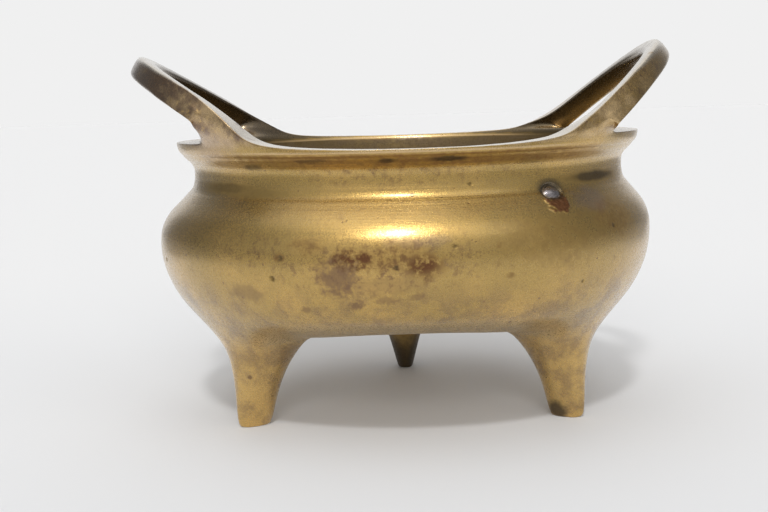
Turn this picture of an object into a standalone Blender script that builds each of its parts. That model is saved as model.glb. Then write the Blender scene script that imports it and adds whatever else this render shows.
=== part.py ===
"""Tripod censer: a squat bowl, two leaning loop handles and three feet, cast in one piece.

Metres, +Z up. The origin is on the floor, on the bowl's axis, between the feet.
The handles stand at -X and +X. One foot stands at the back, at +Y, and two at the front.

The casting is drawn as a coarse cage of faces that is smoothed once. Each size below is a
size of the cage; where smoothing pulls the surface in, the cage stands out by CAGE_SWELL.
"""
import math

import bmesh
import bpy
from mathutils import Vector

# Rim and lip
RIM_HEIGHT = 0.0654
RIM_RADIUS = 0.0562
RIM_LAND = 0.0054
RIM_EDGE = 0.0015
LIP_DROP = 0.0043

# The rim as it was cast: higher towards the handles, and a little to one side of the belly
RIM_SWELL = 0.0015
RIM_SWELL_FROM = 44.0
RIM_SWELL_TO = 80.0
RIM_OFFSET = 0.0012

# Neck and the small ledge under it
NECK_RADIUS = 0.0522
NECK_HEIGHT = 0.0589
LEDGE_HEIGHT = 0.0560
LEDGE_STEP = 0.0011

# Belly: an elliptical shoulder above, a fuller curve below, then a shallow underside
BELLY_RADIUS = 0.0600
BELLY_HEIGHT = 0.0425
SHOULDER_RISE = 0.0268
SHOULDER_ANGLES = (21.5, 11.5)
LOWER_SHARES = (0.42, 0.74)
LOWER_CURVE = 2.4
KNUCKLE_RADIUS = 0.0538
KNUCKLE_HEIGHT = 0.0284
UNDERSIDE_HEIGHT = 0.0214
UNDERSIDE_SHARES = (1.0, 0.90, 0.755, 0.55, 0.30, 0.0)
UNDERSIDE_CURVE = 3.5
CAGE_SWELL = 0.0008

# Wall thickness
WALL = 0.0034
NECK_WALL = 0.0032
FLOOR_WALL = 0.0036

# Columns of faces around the bowl: 6 more than a multiple of 12, so that every foot has a
# column in its middle and every handle root stands on a whole column
COLUMNS = 30
COLUMN_ANGLE = 360.0 / COLUMNS

# Feet
FOOT_AZIMUTHS = (90.0, 210.0, 330.0)
FOOT_CIRCLE = 0.0426
FOOT_DEPTH = 0.0106
FOOT_WIDTH = 0.0062
FOOT_FLARE_DEPTH = 0.0093
FOOT_FLARE_WIDTH = 0.0140
FOOT_LEAN = 0.0034
FOOT_TOP = 0.0199
FOOT_TOE = 0.0013
FOOT_COLUMNS = 3
SOLE_FLAT = 1.9

# Each level of a foot: share of its top height, of its lean, of its flare in depth and width
FOOT_FLARE_LEVELS = ((1.0, 1.0, 0.5, 0.5), (0.72, 0.55, 0.20, 0.24), (0.42, 0.24, 0.03, 0.09))
TOE_SHARES = (0.89, 0.84)
SOLE_SHARES = (0.74, 0.68)

# The underside sinks towards the feet, so that the arches between them are full
FOOT_SINK = 0.0020
FOOT_SINK_FROM = 18.0
FOOT_SINK_TO = 52.0
SINK_SHARES = {13: 0.3, 14: 0.8, 15: 1.0, 16: 1.0, 17: 0.5}

# Handles; the two were bent by hand, so their leans and heights differ a little
HANDLE_REACH = 0.0625
HANDLE_ARC = 0.0451
HANDLE_THICKNESS = 0.0058
HANDLE_WIDTH = 0.0055
HANDLE_CORNER = 0.93
HANDLE_CROWN = 0.97
# Each handle's side, its crown's height, its lean in degrees, and its fall towards the back
LEFT_HANDLE = (-1.0, 0.0846, 33.0, 0.031)
RIGHT_HANDLE = (1.0, 0.0853, 41.0, 0.020)

# Turns along a handle's arch at which its section is set, from the root to the crown
HANDLE_TURNS = (54.0, 45.0, 35.0, 24.0, 12.0, 0.0)

# Roots of a handle on the rim, in degrees from the side, and the columns that they grow from
HANDLE_ROOT_NEAR = 34.5
HANDLE_ROOT_FAR = 54.0
HANDLE_ROOT_COLUMN = 4
ROOT_BLEND = (0.36, 0.46, 0.52)

# Rings of the outside that other steps need, counted from the rim's inner edge
RIM_INNER_RING = 0
RIM_EDGE_RING = 2
FOOT_RING = 14
CRISP_RINGS = {RIM_INNER_RING: 0.45, RIM_EDGE_RING: 0.6}

# Number for the vertices of a bar that belong to no ring of the bowl
BAR_RING = 99

# Vertices closer than this are one vertex
WELD = 0.00001

# How many times the cage is smoothed
SMOOTHING = 1


def clear_scene():
    for old in list(bpy.data.objects):
        bpy.data.objects.remove(old, do_unlink=True)


def old_brass():
    """Old golden-olive cast brass."""
    material = bpy.data.materials.new("old_brass")
    material.use_nodes = True
    shader = material.node_tree.nodes["Principled BSDF"]
    shader.inputs["Base Color"].default_value = (0.36, 0.25, 0.10, 1.0)
    shader.inputs["Metallic"].default_value = 1.0
    shader.inputs["Roughness"].default_value = 0.34
    material.diffuse_color = (0.36, 0.25, 0.10, 1.0)
    return material


def shoulder_point(angle_deg, radius, rise):
    """A point of the shoulder's ellipse; 0 degrees is the widest ring."""
    angle = math.radians(angle_deg)
    return (radius * math.cos(angle), BELLY_HEIGHT + rise * math.sin(angle))


def lower_point(share):
    """A point between the widest ring, at share 0, and the knuckle over the feet, at share 1."""
    radius = BELLY_RADIUS - (BELLY_RADIUS - KNUCKLE_RADIUS) * share ** LOWER_CURVE
    return (radius, BELLY_HEIGHT - (BELLY_HEIGHT - KNUCKLE_HEIGHT) * share)


def underside_point(share):
    """A point between the axis, at share 0, and the knuckle over the feet, at share 1."""
    rise = (KNUCKLE_HEIGHT - UNDERSIDE_HEIGHT) * share ** UNDERSIDE_CURVE
    return (KNUCKLE_RADIUS * share, UNDERSIDE_HEIGHT + rise)


def outer_profile():
    """The outside from the rim's inner edge down to the axis, as (radius, height)."""
    upper, lower = SHOULDER_ANGLES
    overhang = RIM_RADIUS - NECK_RADIUS
    points = [
        (RIM_RADIUS - RIM_LAND, RIM_HEIGHT),
        (RIM_RADIUS - RIM_LAND / 2, RIM_HEIGHT),
        (RIM_RADIUS, RIM_HEIGHT),
        (RIM_RADIUS - 0.05 * overhang, RIM_HEIGHT - RIM_EDGE),
        (NECK_RADIUS + 0.42 * overhang, RIM_HEIGHT - 0.65 * LIP_DROP),
        (NECK_RADIUS, RIM_HEIGHT - LIP_DROP),
        (NECK_RADIUS, NECK_HEIGHT),
        (NECK_RADIUS, LEDGE_HEIGHT + LEDGE_STEP),
        (NECK_RADIUS + LEDGE_STEP, LEDGE_HEIGHT - 0.2 * LEDGE_STEP),
        shoulder_point(upper, BELLY_RADIUS + CAGE_SWELL, SHOULDER_RISE),
        shoulder_point(lower, BELLY_RADIUS + CAGE_SWELL / 2, SHOULDER_RISE),
        (BELLY_RADIUS + CAGE_SWELL / 4, BELLY_HEIGHT),
    ]
    points += [lower_point(share) for share in LOWER_SHARES]
    points += [underside_point(share) for share in UNDERSIDE_SHARES]
    return points


def inner_profile():
    """The inside from just under the rim down to the axis, as (radius, height)."""
    neck = NECK_RADIUS - NECK_WALL
    belly = BELLY_RADIUS - WALL
    lower_radius, lower_height = lower_point(LOWER_SHARES[1])
    floor = UNDERSIDE_HEIGHT + FLOOR_WALL
    return [
        (RIM_RADIUS - RIM_LAND - 0.6 * RIM_EDGE, RIM_HEIGHT - RIM_EDGE),
        (neck, NECK_HEIGHT + LEDGE_STEP),
        (neck + LEDGE_STEP / 2, LEDGE_HEIGHT),
        shoulder_point(17.0, belly + CAGE_SWELL / 2, SHOULDER_RISE - WALL),
        (belly + CAGE_SWELL / 4, BELLY_HEIGHT - CAGE_SWELL),
        (lower_radius - WALL, lower_height + WALL / 3),
        (KNUCKLE_RADIUS - 2.2 * WALL, KNUCKLE_HEIGHT + CAGE_SWELL),
        (KNUCKLE_RADIUS / 2, floor + CAGE_SWELL),
        (KNUCKLE_RADIUS / 4, floor),
        (0.0, floor),
    ]


def turn_bowl(bm):
    """Spins the closed wall section once around the axis, and numbers its rings and columns."""
    ring_layer = bm.verts.layers.int.new("ring")
    column_layer = bm.verts.layers.int.new("column")
    crisp_layer = bm.verts.layers.float.new("crisp")
    inner = inner_profile()
    outline = list(reversed(inner)) + outer_profile()
    # Smoothing draws a ring of straight sides inwards; this puts its radius back
    outset = 3.0 / (2.0 + math.cos(math.tau / COLUMNS))
    verts = []
    for number, (radius, height) in enumerate(outline):
        vert = bm.verts.new((outset * radius, 0.0, height))
        vert[ring_layer] = number - len(inner)
        verts.append(vert)
    edges = [bm.edges.new(pair) for pair in zip(verts, verts[1:])]
    bmesh.ops.spin(
        bm, geom=verts + edges, axis=(0, 0, 1), cent=(0, 0, 0),
        angle=math.tau, steps=COLUMNS, use_merge=True)
    bmesh.ops.remove_doubles(bm, verts=bm.verts[:], dist=WELD)
    bmesh.ops.recalc_face_normals(bm, faces=bm.faces[:])
    for vert in bm.verts:
        turn = math.degrees(math.atan2(vert.co.y, vert.co.x))
        vert[column_layer] = round(turn / COLUMN_ANGLE) % COLUMNS
        vert[crisp_layer] = CRISP_RINGS.get(vert[ring_layer], 0.0)
    return ring_layer, column_layer, crisp_layer


def smooth_step(value, low, high):
    share = min(max((value - low) / (high - low), 0.0), 1.0)
    return share * share * (3.0 - 2.0 * share)


def settle_rim(bm, ring_layer):
    """Raises the rim towards the handles and sets it a little to one side, as it was cast."""
    for vert in bm.verts:
        from_side = math.degrees(math.atan2(abs(vert.co.y), abs(vert.co.x)))
        rise = RIM_SWELL * (1.0 - smooth_step(from_side, RIM_SWELL_FROM, RIM_SWELL_TO))
        if -1 <= vert[ring_layer] <= RIM_EDGE_RING:
            vert.co.z += rise
        elif vert[ring_layer] == RIM_EDGE_RING + 1:
            vert.co.z += rise / 2
        vert.co.x += RIM_OFFSET * smooth_step(vert.co.z, BELLY_HEIGHT, NECK_HEIGHT)


def settle_underside(bm, ring_layer):
    """Lowers the underside towards each foot."""
    for vert in bm.verts:
        share = SINK_SHARES.get(vert[ring_layer], 0.0)
        turn = math.degrees(math.atan2(vert.co.y, vert.co.x))
        from_foot = min(abs((turn - azimuth + 180.0) % 360.0 - 180.0) for azimuth in FOOT_AZIMUTHS)
        vert.co.z -= FOOT_SINK * share * (1.0 - smooth_step(from_foot, FOOT_SINK_FROM, FOOT_SINK_TO))


def patch(bm, layers, first_ring, rows, first_column, columns):
    """A block of the bowl's faces, and its vertices by (column, row)."""
    ring_layer, column_layer = layers[:2]
    grid = {}
    for vert in bm.verts:
        row = vert[ring_layer] - first_ring
        column = (vert[column_layer] - first_column) % COLUMNS
        if 0 <= row <= rows and column <= columns:
            grid[(column, row)] = vert
    inside = set(grid.values())
    faces = [face for face in bm.faces if set(face.verts) <= inside]
    return faces, grid


def extrude(bm, faces, grid):
    """Extrudes a block of faces and gives the new block in the same order."""
    made = bmesh.ops.extrude_face_region(bm, geom=faces)["geom"]
    new_faces = [item for item in made if isinstance(item, bmesh.types.BMFace)]
    new_verts = [item for item in made if isinstance(item, bmesh.types.BMVert)]
    new_grid = {}
    for key, old in grid.items():
        new_grid[key] = min(new_verts, key=lambda vert: (vert.co - old.co).length_squared)
    bmesh.ops.delete(bm, geom=faces, context="FACES")
    cap = set(new_grid.values())
    return [face for face in new_faces if set(face.verts) <= cap], new_grid


def disc_point(across, along):
    """Maps a point of the square from -1 to 1 onto the unit disc."""
    return (
        across * math.sqrt(1.0 - along * along / 2.0),
        along * math.sqrt(1.0 - across * across / 2.0))


def foot_levels():
    """Height, centre radius, half depth and half width at each level of a foot."""
    depth = FOOT_DEPTH / 2
    width = FOOT_WIDTH / 2
    levels = []
    for height_share, lean_share, depth_share, width_share in FOOT_FLARE_LEVELS:
        levels.append((
            height_share * FOOT_TOP,
            FOOT_CIRCLE - lean_share * FOOT_LEAN,
            depth + depth_share * FOOT_FLARE_DEPTH,
            width + width_share * FOOT_FLARE_WIDTH))
    levels.append((FOOT_TOE, FOOT_CIRCLE, TOE_SHARES[0] * depth, TOE_SHARES[1] * width))
    levels.append((0.0, FOOT_CIRCLE, SOLE_SHARES[0] * depth, SOLE_SHARES[1] * width))
    return levels


def draw_foot(bm, layers, foot_azimuth):
    """Draws one foot down out of the underside, ring by ring."""
    first_column = round(foot_azimuth / COLUMN_ANGLE - FOOT_COLUMNS / 2)
    faces, grid = patch(bm, layers, FOOT_RING, FOOT_COLUMNS, first_column, FOOT_COLUMNS)
    turn = math.radians(foot_azimuth)
    out = Vector((math.cos(turn), math.sin(turn), 0.0))
    side = Vector((-out.y, out.x, 0.0))
    for height, centre, depth, width in foot_levels():
        faces, grid = extrude(bm, faces, grid)
        for (column, row), vert in grid.items():
            across, along = disc_point(
                2.0 * column / FOOT_COLUMNS - 1.0, 1.0 - 2.0 * row / FOOT_COLUMNS)
            inner = 0 < column < FOOT_COLUMNS and 0 < row < FOOT_COLUMNS
            spread = SOLE_FLAT if inner and height == 0.0 else 1.0
            vert.co = (
                out * (centre + spread * depth * along)
                + side * (spread * width * across)
                + Vector((0.0, 0.0, height)))


def handle_frame(handle, turn_deg):
    """Centre of a handle's bar at a turn along its arch, its top face's normal, its outward side."""
    side, height, lean_deg, fall = handle
    lean = math.radians(lean_deg)
    turn = math.radians(turn_deg)
    reach = HANDLE_REACH - HANDLE_ARC * (1.0 - math.cos(turn))
    spread = HANDLE_ARC * math.sin(turn)
    rise = math.tan(lean)
    centre = Vector((reach, spread, height - (HANDLE_REACH - reach) * rise - spread * fall))
    along = Vector((-math.sin(turn), math.cos(turn), -math.sin(turn) * rise)).normalized()
    normal = Vector((-math.sin(lean), 0.0, math.cos(lean)))
    outward = along.cross(normal).normalized()
    for vector in (centre, normal, outward):
        vector.x *= side
    return centre, normal, outward


def bar_section(handle, turn_deg):
    """The section of the bar as a block of points, by (top to bottom, inner to outer)."""
    centre, normal, outward = handle_frame(handle, turn_deg)
    size = HANDLE_CROWN + (1.0 - HANDLE_CROWN) * abs(turn_deg) / HANDLE_TURNS[0]
    points = {}
    for column in range(3):
        for row in range(3):
            corner = HANDLE_CORNER if column == 2 and row != 1 else 1.0
            points[(column, row)] = (
                centre
                + normal * ((1 - column) * size * corner * HANDLE_THICKNESS / 2)
                + outward * ((row - 1) * size * corner * HANDLE_WIDTH / 2))
    return points


def draw_half_handle(bm, layers, handle, front):
    """Draws one half of a handle out of the rim, up to the crown."""
    side = handle[0]
    base = 0.0 if side > 0 else 180.0
    way = side * front
    ring_layer, crisp_layer = layers[0], layers[2]
    middle_column = round(base / COLUMN_ANGLE + way * HANDLE_ROOT_COLUMN)
    faces, grid = patch(bm, layers, RIM_INNER_RING, 2, middle_column - 1, 2)
    if way > 0:
        grid = {(2 - column, row): vert for (column, row), vert in grid.items()}
    roots = (HANDLE_ROOT_FAR, (HANDLE_ROOT_FAR + HANDLE_ROOT_NEAR) / 2, HANDLE_ROOT_NEAR)
    for (column, row), vert in grid.items():
        radius = math.hypot(vert.co.x, vert.co.y)
        turn = math.radians(base + way * roots[column])
        vert.co.x = radius * math.cos(turn)
        vert.co.y = radius * math.sin(turn)
        if column == 1:
            vert[ring_layer] = BAR_RING
    start = {key: vert.co.copy() for key, vert in grid.items()}
    first = bar_section(handle, front * HANDLE_TURNS[0])
    faces, grid = extrude(bm, faces, grid)
    for key, vert in grid.items():
        vert.co = start[key].lerp(first[key], ROOT_BLEND[key[0]])
        if key[0] > 0 or key[1] == 1:
            vert[ring_layer] = BAR_RING
    for turn in HANDLE_TURNS:
        faces, grid = extrude(bm, faces, grid)
        section = bar_section(handle, front * turn)
        for key, vert in grid.items():
            vert.co = section[key]
            vert[crisp_layer] = vert[crisp_layer] * turn / HANDLE_TURNS[0]
    return faces


def draw_handle(bm, layers, handle):
    """Draws both halves of a handle and welds them at the crown."""
    ends = []
    for front in (-1.0, 1.0):
        ends += draw_half_handle(bm, layers, handle, front)
    crown = {vert for face in ends for vert in face.verts}
    bmesh.ops.delete(bm, geom=ends, context="FACES")
    crown = [vert for vert in crown if vert.is_valid]
    bmesh.ops.remove_doubles(bm, verts=crown, dist=WELD)


def crease_edges(bm, layers):
    """Keeps the rim's edges crisp; on the handles they run on and fade out towards the crown."""
    ring_layer, crisp_layer = layers[0], layers[2]
    crease = bm.edges.layers.float.new("crease_edge")
    for edge in bm.edges:
        first, second = edge.verts
        if first[ring_layer] == second[ring_layer]:
            edge[crease] = min(first[crisp_layer], second[crisp_layer])


def build_censer():
    mesh = bpy.data.meshes.new("censer")
    bm = bmesh.new()
    layers = turn_bowl(bm)
    settle_rim(bm, layers[0])
    settle_underside(bm, layers[0])
    for foot_azimuth in FOOT_AZIMUTHS:
        draw_foot(bm, layers, foot_azimuth)
    draw_handle(bm, layers, LEFT_HANDLE)
    draw_handle(bm, layers, RIGHT_HANDLE)
    crease_edges(bm, layers)
    bmesh.ops.recalc_face_normals(bm, faces=bm.faces[:])
    bm.to_mesh(mesh)
    bm.free()
    mesh.shade_smooth()
    mesh.materials.append(old_brass())
    censer = bpy.data.objects.new("censer", mesh)
    bpy.context.scene.collection.objects.link(censer)
    smooth = censer.modifiers.new("smoothing", "SUBSURF")
    smooth.levels = SMOOTHING
    smooth.render_levels = SMOOTHING
    return censer


clear_scene()
build_censer()
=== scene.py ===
# %% [markdown]
# This lesson dresses a small tripod censer, an old incense burner. It is one brass casting: a squat
# bowl, a low neck, a flared rim that runs into two leaning loop handles, and three short feet.
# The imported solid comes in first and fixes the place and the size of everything.

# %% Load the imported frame
import math

import bmesh
import bpy
from mathutils import Matrix, Vector, noise


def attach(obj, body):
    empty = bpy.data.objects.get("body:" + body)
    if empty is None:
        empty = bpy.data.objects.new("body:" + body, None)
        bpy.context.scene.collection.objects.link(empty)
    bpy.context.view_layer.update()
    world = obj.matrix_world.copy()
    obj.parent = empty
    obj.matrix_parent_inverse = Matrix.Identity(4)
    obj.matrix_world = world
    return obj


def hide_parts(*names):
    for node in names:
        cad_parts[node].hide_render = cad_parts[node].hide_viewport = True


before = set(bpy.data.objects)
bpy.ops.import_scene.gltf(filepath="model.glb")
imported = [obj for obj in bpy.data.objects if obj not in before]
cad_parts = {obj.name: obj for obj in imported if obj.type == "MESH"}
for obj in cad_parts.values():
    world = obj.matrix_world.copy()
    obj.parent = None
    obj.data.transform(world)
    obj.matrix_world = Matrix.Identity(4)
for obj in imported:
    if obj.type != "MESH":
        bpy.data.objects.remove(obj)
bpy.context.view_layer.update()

# %% [markdown]
# The camera stands close in front, a hand's width above the rim, and looks down a little. The
# picture is also tilted by a degree or two, so the right side seems higher. Blender takes a camera
# as three axes, right, up and back, and the tilt turns the first two about the third.

# %% Camera
CAMERA_DISTANCE = 0.3219
CAMERA_HEIGHT = 0.0756
CAMERA_TURN = math.radians(1.0)
CAMERA_AIM = math.radians(0.93)
CAMERA_DIP = math.radians(6.88)
CAMERA_TILT = math.radians(1.74)
SENSOR_WIDTH_MM = 36.0
LENS_MM = 60.81

heading = CAMERA_TURN - CAMERA_AIM
ahead_level = Vector((math.sin(heading), math.cos(heading), 0.0))
right_level = Vector((math.cos(heading), -math.sin(heading), 0.0))
straight_up = Vector((0.0, 0.0, 1.0))
ahead = math.cos(CAMERA_DIP) * ahead_level - math.sin(CAMERA_DIP) * straight_up
up_level = math.sin(CAMERA_DIP) * ahead_level + math.cos(CAMERA_DIP) * straight_up
right = math.cos(CAMERA_TILT) * right_level - math.sin(CAMERA_TILT) * up_level
up = math.sin(CAMERA_TILT) * right_level + math.cos(CAMERA_TILT) * up_level

camera = bpy.data.objects.new("camera", bpy.data.cameras.new("camera"))
bpy.context.scene.collection.objects.link(camera)
camera.data.sensor_width = SENSOR_WIDTH_MM
camera.data.lens = LENS_MM
camera.data.clip_start = 0.01
camera.data.clip_end = 50.0
stand = Vector((
    -CAMERA_DISTANCE * math.sin(CAMERA_TURN), -CAMERA_DISTANCE * math.cos(CAMERA_TURN), CAMERA_HEIGHT))
camera.matrix_world = Matrix.Translation(stand) @ Matrix((right, up, -ahead)).transposed().to_4x4()
bpy.context.scene.camera = camera
print("camera at", [round(value, 4) for value in camera.location])

# %% [markdown]
# The casting is drawn as a coarse cage that Subdivision Surface rounds, which is the way to get a
# bowl, feet and handles that flow into each other as molten metal did in one mould. The bowl's
# wall is a closed outline, down the outside to the axis and back up the inside. These are its
# sizes in metres, the same as the solid's.

# %% Sizes of the rim, the neck and the belly
RIM_HEIGHT = 0.0654
RIM_RADIUS = 0.0562
RIM_LAND = 0.0054
RIM_EDGE = 0.0015
LIP_DROP = 0.0043
RIM_SWELL = 0.0015
RIM_SWELL_FROM = 44.0
RIM_SWELL_TO = 80.0
RIM_OFFSET = 0.0012
# Under the rim the lip turns in by these shares of its overhang and of its drop
LIP_EDGE_SHARE = 0.05
LIP_UNDER_SHARE = 0.42
LIP_UNDER_DROP = 0.65

NECK_RADIUS = 0.0522
NECK_HEIGHT = 0.0589
LEDGE_HEIGHT = 0.0560
LEDGE_STEP = 0.0011
LEDGE_SAG = 0.2

BELLY_RADIUS = 0.0600
BELLY_HEIGHT = 0.0425
SHOULDER_RISE = 0.0268
SHOULDER_ANGLES = (21.5, 11.5)
LOWER_SHARES = (0.42, 0.74)
LOWER_CURVE = 2.4
KNUCKLE_RADIUS = 0.0538
KNUCKLE_HEIGHT = 0.0284
UNDERSIDE_HEIGHT = 0.0214
UNDERSIDE_SHARES = (1.0, 0.90, 0.755, 0.55, 0.30, 0.0)
UNDERSIDE_CURVE = 3.5
CAGE_SWELL = 0.0008

WALL = 0.0034
NECK_WALL = 0.0032
FLOOR_WALL = 0.0036
INNER_LIP_SHARE = 0.6
INNER_SHOULDER_ANGLE = 17.0
INNER_CORNER_WALLS = 2.2
print("rim", 2000 * RIM_RADIUS, "mm across, belly", 2000 * BELLY_RADIUS, "mm across")

# %% The wall's outline
def shoulder_point(angle_deg, radius, rise):
    """A point of the shoulder's ellipse; 0 degrees is the widest ring."""
    angle = math.radians(angle_deg)
    return (radius * math.cos(angle), BELLY_HEIGHT + rise * math.sin(angle))


def lower_point(share):
    """A point between the widest ring, at share 0, and the knuckle over the feet, at share 1."""
    radius = BELLY_RADIUS - (BELLY_RADIUS - KNUCKLE_RADIUS) * share ** LOWER_CURVE
    return (radius, BELLY_HEIGHT - (BELLY_HEIGHT - KNUCKLE_HEIGHT) * share)


def underside_point(share):
    """A point between the axis, at share 0, and the knuckle over the feet, at share 1."""
    rise = (KNUCKLE_HEIGHT - UNDERSIDE_HEIGHT) * share ** UNDERSIDE_CURVE
    return (KNUCKLE_RADIUS * share, UNDERSIDE_HEIGHT + rise)


def outer_outline():
    """The outside from the rim's inner edge down to the axis, as (radius, height)."""
    upper, lower = SHOULDER_ANGLES
    overhang = RIM_RADIUS - NECK_RADIUS
    points = [
        (RIM_RADIUS - RIM_LAND, RIM_HEIGHT),
        (RIM_RADIUS - RIM_LAND / 2, RIM_HEIGHT),
        (RIM_RADIUS, RIM_HEIGHT),
        (RIM_RADIUS - LIP_EDGE_SHARE * overhang, RIM_HEIGHT - RIM_EDGE),
        (NECK_RADIUS + LIP_UNDER_SHARE * overhang, RIM_HEIGHT - LIP_UNDER_DROP * LIP_DROP),
        (NECK_RADIUS, RIM_HEIGHT - LIP_DROP),
        (NECK_RADIUS, NECK_HEIGHT),
        (NECK_RADIUS, LEDGE_HEIGHT + LEDGE_STEP),
        (NECK_RADIUS + LEDGE_STEP, LEDGE_HEIGHT - LEDGE_SAG * LEDGE_STEP),
        shoulder_point(upper, BELLY_RADIUS + CAGE_SWELL, SHOULDER_RISE),
        shoulder_point(lower, BELLY_RADIUS + CAGE_SWELL / 2, SHOULDER_RISE),
        (BELLY_RADIUS + CAGE_SWELL / 4, BELLY_HEIGHT),
    ]
    points += [lower_point(share) for share in LOWER_SHARES]
    points += [underside_point(share) for share in UNDERSIDE_SHARES]
    return points


def inner_outline():
    """The inside from just under the rim down to the axis, as (radius, height)."""
    neck = NECK_RADIUS - NECK_WALL
    belly = BELLY_RADIUS - WALL
    lower_radius, lower_height = lower_point(LOWER_SHARES[1])
    floor = UNDERSIDE_HEIGHT + FLOOR_WALL
    return [
        (RIM_RADIUS - RIM_LAND - INNER_LIP_SHARE * RIM_EDGE, RIM_HEIGHT - RIM_EDGE),
        (neck, NECK_HEIGHT + LEDGE_STEP),
        (neck + LEDGE_STEP / 2, LEDGE_HEIGHT),
        shoulder_point(INNER_SHOULDER_ANGLE, belly + CAGE_SWELL / 2, SHOULDER_RISE - WALL),
        (belly + CAGE_SWELL / 4, BELLY_HEIGHT - CAGE_SWELL),
        (lower_radius - WALL, lower_height + WALL / 3),
        (KNUCKLE_RADIUS - INNER_CORNER_WALLS * WALL, KNUCKLE_HEIGHT + CAGE_SWELL),
        (KNUCKLE_RADIUS / 2, floor + CAGE_SWELL),
        (KNUCKLE_RADIUS / 4, floor),
        (0.0, floor),
    ]


print("outline points:", len(outer_outline()), "outside and", len(inner_outline()), "inside")

# %% [markdown]
# A full spin turns the outline into the bowl. Each vertex keeps four marks: the ring and the column
# that it belongs to, by which the feet and the handles find their faces, how crisp its ring is,
# and whether it is inside the bowl. The last two are also read by the finish later on.

# %% Spin the bowl
COLUMNS = 30
COLUMN_ANGLE = 360.0 / COLUMNS
RIM_INNER_RING = 0
RIM_EDGE_RING = 2
FOOT_RING = 14
BAR_RING = 99
CRISP_RINGS = {RIM_INNER_RING: 0.5, RIM_EDGE_RING: 0.7}
WELD = 0.00001

casting = bmesh.new()
ring_mark = casting.verts.layers.int.new("ring")
column_mark = casting.verts.layers.int.new("column")
crisp_mark = casting.verts.layers.float.new("crisp")
inside_mark = casting.verts.layers.float.new("inside")


def spin_bowl(bm):
    """Spins the closed wall once around the axis, and marks its rings and columns."""
    inner = inner_outline()
    # Smoothing draws a ring of straight sides inwards, and this puts its radius back
    outset = 3.0 / (2.0 + math.cos(math.tau / COLUMNS))
    verts = []
    for number, (radius, height) in enumerate(list(reversed(inner)) + outer_outline()):
        vert = bm.verts.new((outset * radius, 0.0, height))
        vert[ring_mark] = number - len(inner)
        verts.append(vert)
    edges = [bm.edges.new(pair) for pair in zip(verts, verts[1:])]
    bmesh.ops.spin(
        bm, geom=verts + edges, axis=(0, 0, 1), cent=(0, 0, 0),
        angle=math.tau, steps=COLUMNS, use_merge=True)
    bmesh.ops.remove_doubles(bm, verts=bm.verts[:], dist=WELD)
    bmesh.ops.recalc_face_normals(bm, faces=bm.faces[:])
    for vert in bm.verts:
        turn = math.degrees(math.atan2(vert.co.y, vert.co.x))
        vert[column_mark] = round(turn / COLUMN_ANGLE) % COLUMNS
        vert[crisp_mark] = CRISP_RINGS.get(vert[ring_mark], 0.0)
        vert[inside_mark] = 1.0 if vert[ring_mark] < 0 else 0.0


spin_bowl(casting)
print("bowl:", len(casting.faces), "faces")

# %% [markdown]
# A hand casting isn't quite true. Its rim rises towards the handles and sits a little to one side,
# and the underside sinks towards each foot, so that the arches between the feet are full.

# %% Settle the rim and the underside
FOOT_AZIMUTHS = (90.0, 210.0, 330.0)
FOOT_SINK = 0.0020
FOOT_SINK_FROM = 18.0
FOOT_SINK_TO = 52.0
SINK_SHARES = {13: 0.3, 14: 0.8, 15: 1.0, 16: 1.0, 17: 0.5}


def smooth_step(value, low, high):
    share = min(max((value - low) / (high - low), 0.0), 1.0)
    return share * share * (3.0 - 2.0 * share)


def settle_bowl(bm):
    for vert in bm.verts:
        ring = vert[ring_mark]
        from_side = math.degrees(math.atan2(abs(vert.co.y), abs(vert.co.x)))
        rise = RIM_SWELL * (1.0 - smooth_step(from_side, RIM_SWELL_FROM, RIM_SWELL_TO))
        if -1 <= ring <= RIM_EDGE_RING:
            vert.co.z += rise
        elif ring == RIM_EDGE_RING + 1:
            vert.co.z += rise / 2
        vert.co.x += RIM_OFFSET * smooth_step(vert.co.z, BELLY_HEIGHT, NECK_HEIGHT)
    for vert in bm.verts:
        turn = math.degrees(math.atan2(vert.co.y, vert.co.x))
        away = min(abs((turn - azimuth + 180.0) % 360.0 - 180.0) for azimuth in FOOT_AZIMUTHS)
        sink = FOOT_SINK * (1.0 - smooth_step(away, FOOT_SINK_FROM, FOOT_SINK_TO))
        vert.co.z -= SINK_SHARES.get(vert[ring_mark], 0.0) * sink


settle_bowl(casting)
print("rim's highest point:", round(1000 * max(vert.co.z for vert in casting.verts), 2), "mm")

# %% [markdown]
# The feet are drawn out of the underside by extruding a block of nine faces, level by level. The
# block becomes round on the way, because each point of the square is mapped onto a disc.

# %% Helpers for drawing out a block of faces
def patch(bm, first_ring, rows, first_column, columns):
    """A block of the bowl's faces, and its vertices by (column, row)."""
    grid = {}
    for vert in bm.verts:
        row = vert[ring_mark] - first_ring
        column = (vert[column_mark] - first_column) % COLUMNS
        if 0 <= row <= rows and column <= columns:
            grid[(column, row)] = vert
    inside = set(grid.values())
    return [face for face in bm.faces if set(face.verts) <= inside], grid


def draw_out(bm, faces, grid):
    """Extrudes a block of faces and gives the new block in the same order."""
    made = bmesh.ops.extrude_face_region(bm, geom=faces)["geom"]
    new_faces = [item for item in made if isinstance(item, bmesh.types.BMFace)]
    new_verts = [item for item in made if isinstance(item, bmesh.types.BMVert)]
    new_grid = {}
    for key, old in grid.items():
        new_grid[key] = min(new_verts, key=lambda vert: (vert.co - old.co).length_squared)
    bmesh.ops.delete(bm, geom=faces, context="FACES")
    cap = set(new_grid.values())
    return [face for face in new_faces if set(face.verts) <= cap], new_grid


def disc_point(across, along):
    """Maps a point of the square from -1 to 1 onto the unit disc."""
    return (
        across * math.sqrt(1.0 - along * along / 2.0),
        along * math.sqrt(1.0 - across * across / 2.0))


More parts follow.
